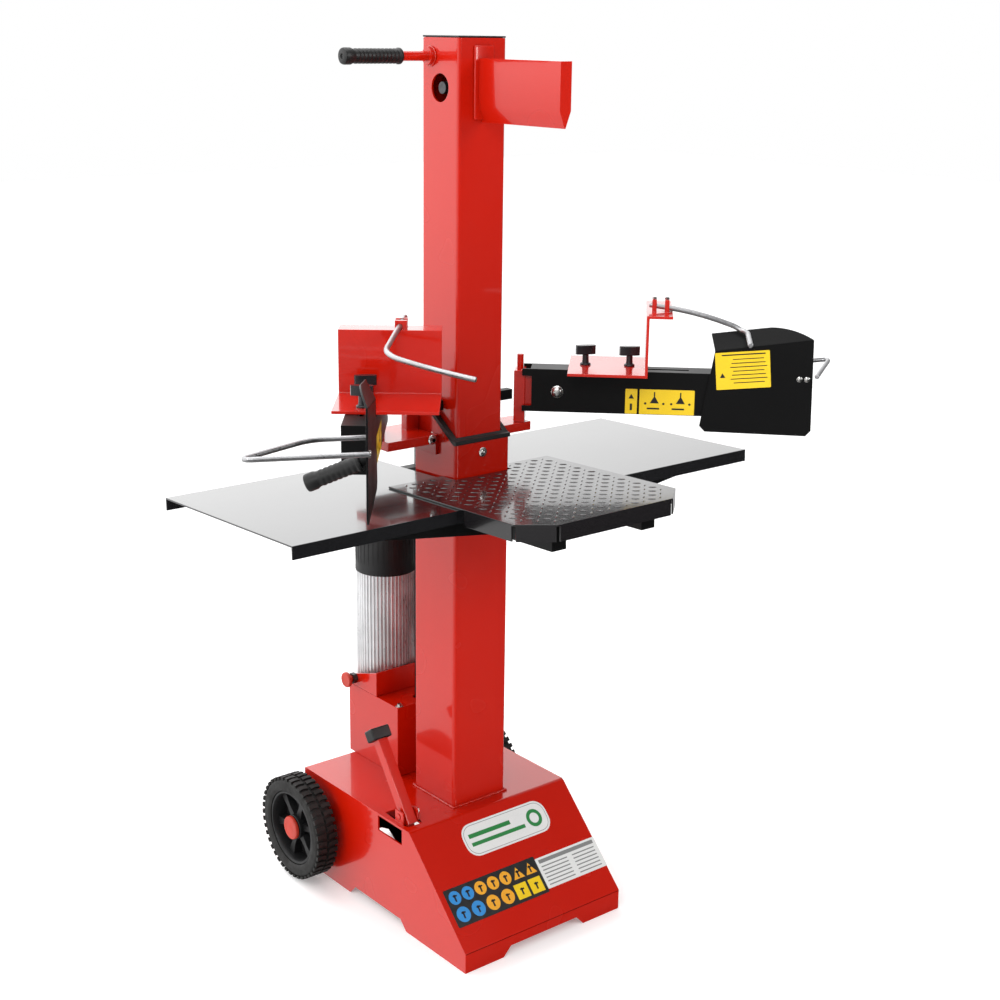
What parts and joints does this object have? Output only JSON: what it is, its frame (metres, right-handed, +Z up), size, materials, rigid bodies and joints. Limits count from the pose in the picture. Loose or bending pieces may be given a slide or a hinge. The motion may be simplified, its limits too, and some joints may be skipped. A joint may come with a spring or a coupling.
{
  "type": "log splitter",
  "caption": "Upright electric log splitter: telescoping square column with a wedge, split table, two swinging log arms with claws, wheeled base with motor and pump.",
  "frame": {"origin": "on the ground under the middle of the outline", "axes": "+Z up, -Y the front where the wedge and the table stand out, +X the right side"},
  "size_m": [1.2385, 0.7188, 1.564],
  "materials": {
    "red_paint": "gloss powder coat",
    "black_paint": "gloss to satin powder coat",
    "bright_steel": "bare or zinc plated steel",
    "cast_aluminium": "cast and drawn aluminium",
    "black_plastic": "matte moulded plastic",
    "tyre_rubber": "rubber with tread",
    "black_rubber": "soft rubber",
    "cream_plastic": "plain slide plastic",
    "green_plastic": "gloss plastic",
    "red_plastic": "gloss plastic"
  },
  "bodies": {
    "frame": {"base_housing": "red_paint", "axle": "bright_steel", "column_outer": "red_paint", "column_wiper": "black_rubber", "guide_ring": "cream_plastic", "piston_rod": "bright_steel", "motor_body": "cast_aluminium", "motor_cowl": "black_plastic", "motor_seat": "red_paint", "pump_housing": "red_paint", "pump_block": "cast_aluminium", "filler_cap": "red_paint", "switch_box": "black_plastic", "power_inlet": "black_plastic", "wing_left": "black_paint", "wing_right": "black_paint", "table_frame": "black_paint", "tread_plate": "black_paint", "arm_support_left": "red_paint", "arm_support_right": "red_paint"},
    "mast": {"column_inner": "red_paint", "column_cap": "black_plastic", "wedge": "red_paint", "cylinder_barrel": "bright_steel", "cylinder_pin": "bright_steel", "transport_handle": "red_paint", "transport_grip": "black_rubber"},
    "rotor": {"motor_rotor": "bright_steel"},
    "start": {"start_button": "green_plastic"},
    "stop": {"stop_button": "red_plastic"},
    "yoke": {"control_yoke": "black_paint"},
    "lever": {"foot_lever": "red_paint", "foot_lever_cap": "black_rubber"},
    "wheel_left": {"tyre_left": "tyre_rubber", "rim_left": "black_plastic", "hub_cap_left": "red_paint"},
    "swing_left": {"swing_bracket_left": "red_paint", "pivot_bolt_left": "bright_steel"},
    "arm_left": {"arm_channel_left": "black_paint", "guard_plate_left": "black_paint", "hoop_rod_left": "bright_steel", "arm_grip_left": "black_rubber"},
    "claw_left": {"claw_left": "red_paint"},
    "rod_left": {"claw_rod_left": "bright_steel"},
    "knob_left_1": {"claw_knob_left_1": "black_plastic"},
    "knob_left_2": {"claw_knob_left_2": "black_plastic"},
    "wheel_right": {"tyre_right": "tyre_rubber", "rim_right": "black_plastic", "hub_cap_right": "red_paint"},
    "swing_right": {"swing_bracket_right": "red_paint", "pivot_bolt_right": "bright_steel"},
    "arm_right": {"arm_channel_right": "black_paint", "guard_plate_right": "black_paint", "hoop_rod_right": "bright_steel", "arm_grip_right": "black_rubber"},
    "claw_right": {"claw_right": "red_paint"},
    "rod_right": {"claw_rod_right": "bright_steel"},
    "knob_right_1": {"claw_knob_right_1": "black_plastic"},
    "knob_right_2": {"claw_knob_right_2": "black_plastic"}
  },
  "joints": [
    {"name": "column_slide", "type": "slide", "parent": "frame", "child": "mast", "axis": [0, 0, 1], "range_m": [-0.505, 0]},
    {"name": "rotor_spin", "type": "hinge", "parent": "frame", "child": "rotor", "pos_m": [0, 0.28243, 0.48], "axis": [0, 0, 1], "continuous": true},
    {"name": "start_press", "type": "slide", "parent": "frame", "child": "start", "axis": [0, 0, -1], "range_m": [0, 0.004], "stiffness_N_per_m": 400, "springref_m": -0.001},
    {"name": "stop_press", "type": "slide", "parent": "frame", "child": "stop", "axis": [0, 0, -1], "range_m": [0, 0.004], "stiffness_N_per_m": 400, "springref_m": -0.001},
    {"name": "yoke_lift", "type": "slide", "parent": "frame", "child": "yoke", "axis": [0, 0, 1], "range_m": [0, 0.009]},
    {"name": "foot_lever_tilt", "type": "hinge", "parent": "frame", "child": "lever", "pos_m": [-0.154, 0.00243, 0.214], "axis": [-1, 0, 0], "range_deg": [0, 25], "stiffness_Nm_per_rad": 4, "springref_deg": -17.19},
    {"name": "wheel_spin_left", "type": "hinge", "parent": "frame", "child": "wheel_left", "pos_m": [-0.221, 0.25943, 0.108], "axis": [1, 0, 0], "continuous": true},
    {"name": "arm_swing_left", "type": "hinge", "parent": "frame", "child": "swing_left", "pos_m": [-0.143, 0.11143, 0.94], "axis": [0, 0, 1], "range_deg": [-35, 15]},
    {"name": "arm_tilt_left", "type": "hinge", "parent": "swing_left", "child": "arm_left", "pos_m": [-0.18552, 0.05836, 0.957], "axis": [0.7804, -0.6252, 0], "range_deg": [0, 8], "stiffness_Nm_per_rad": 130, "springref_deg": -14.32},
    {"name": "claw_slide_left", "type": "slide", "parent": "arm_left", "child": "claw_left", "axis": [-0.6252, -0.7804, 0], "range_m": [-0.04, 0.03]},
    {"name": "knob_turn_left_1", "type": "hinge", "parent": "claw_left", "child": "knob_left_1", "pos_m": [-0.25679, -0.03061, 1.02], "axis": [0, 0, 1], "continuous": true},
    {"name": "knob_turn_left_2", "type": "hinge", "parent": "claw_left", "child": "knob_left_2", "pos_m": [-0.30556, -0.09148, 1.02], "axis": [0, 0, 1], "continuous": true},
    {"name": "rod_turn_left", "type": "hinge", "parent": "claw_left", "child": "rod_left", "pos_m": [-0.1612, -0.00725, 1.119], "axis": [-0.7318, -0.651, -0.2019], "range_deg": [-30, 30]},
    {"name": "wheel_spin_right", "type": "hinge", "parent": "frame", "child": "wheel_right", "pos_m": [0.221, 0.25943, 0.108], "axis": [1, 0, 0], "continuous": true},
    {"name": "arm_swing_right", "type": "hinge", "parent": "frame", "child": "swing_right", "pos_m": [0.124, 0.03643, 0.94], "axis": [0, 0, 1], "range_deg": [-25, 35]},
    {"name": "arm_tilt_right", "type": "hinge", "parent": "swing_right", "child": "arm_right", "pos_m": [0.17324, -0.01046, 0.957], "axis": [0.6896, 0.7242, 0], "range_deg": [0, 8], "stiffness_Nm_per_rad": 130, "springref_deg": -14.32},
    {"name": "claw_slide_right", "type": "slide", "parent": "arm_right", "child": "claw_right", "axis": [0.7242, -0.6896, 0], "range_m": [-0.012, 0.06]},
    {"name": "knob_turn_right_1", "type": "hinge", "parent": "claw_right", "child": "knob_right_1", "pos_m": [0.26449, -0.09736, 1.02], "axis": [0, 0, 1], "continuous": true},
    {"name": "knob_turn_right_2", "type": "hinge", "parent": "claw_right", "child": "knob_right_2", "pos_m": [0.208, -0.04357, 1.02], "axis": [0, 0, 1], "continuous": true},
    {"name": "rod_turn_right", "type": "hinge", "parent": "claw_right", "child": "rod_right", "pos_m": [0.26835, -0.1397, 1.117], "axis": [0.7023, -0.6688, -0.2439], "range_deg": [-30, 30]}
  ],
  "couplings": [
    {"joint": "yoke_lift", "follows": "arm_tilt_right", "m_per_rad": 0.063}
  ]
}
